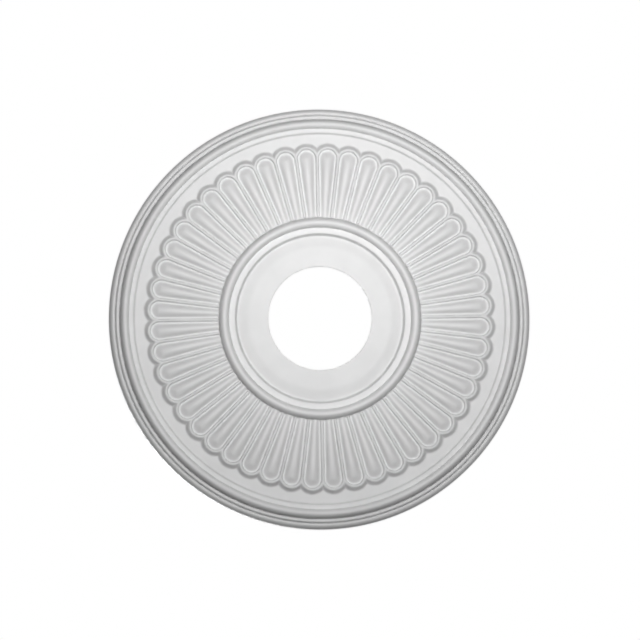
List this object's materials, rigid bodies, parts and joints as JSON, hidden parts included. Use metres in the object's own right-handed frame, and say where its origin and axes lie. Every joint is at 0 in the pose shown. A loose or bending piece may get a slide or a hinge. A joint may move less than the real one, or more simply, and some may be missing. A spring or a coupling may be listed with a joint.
{
  "type": "ceiling rose",
  "caption": "Round moulded ceiling rose with a centre hole, a ring of scalloped flutes and a stepped, beaded rim.",
  "frame": {"origin": "centre of the flat back, in the plane that lies against the ceiling", "axes": "+Z is the axis of the rose, pointing out of the back into the ceiling; the moulded face looks towards -Z; +Y runs along the middle of one flute"},
  "size_m": [0.4, 0.4, 0.019],
  "materials": {
    "casting": "matte"
  },
  "bodies": {
    "root": {"rose_casting": "casting"}
  },
  "joints": []
}
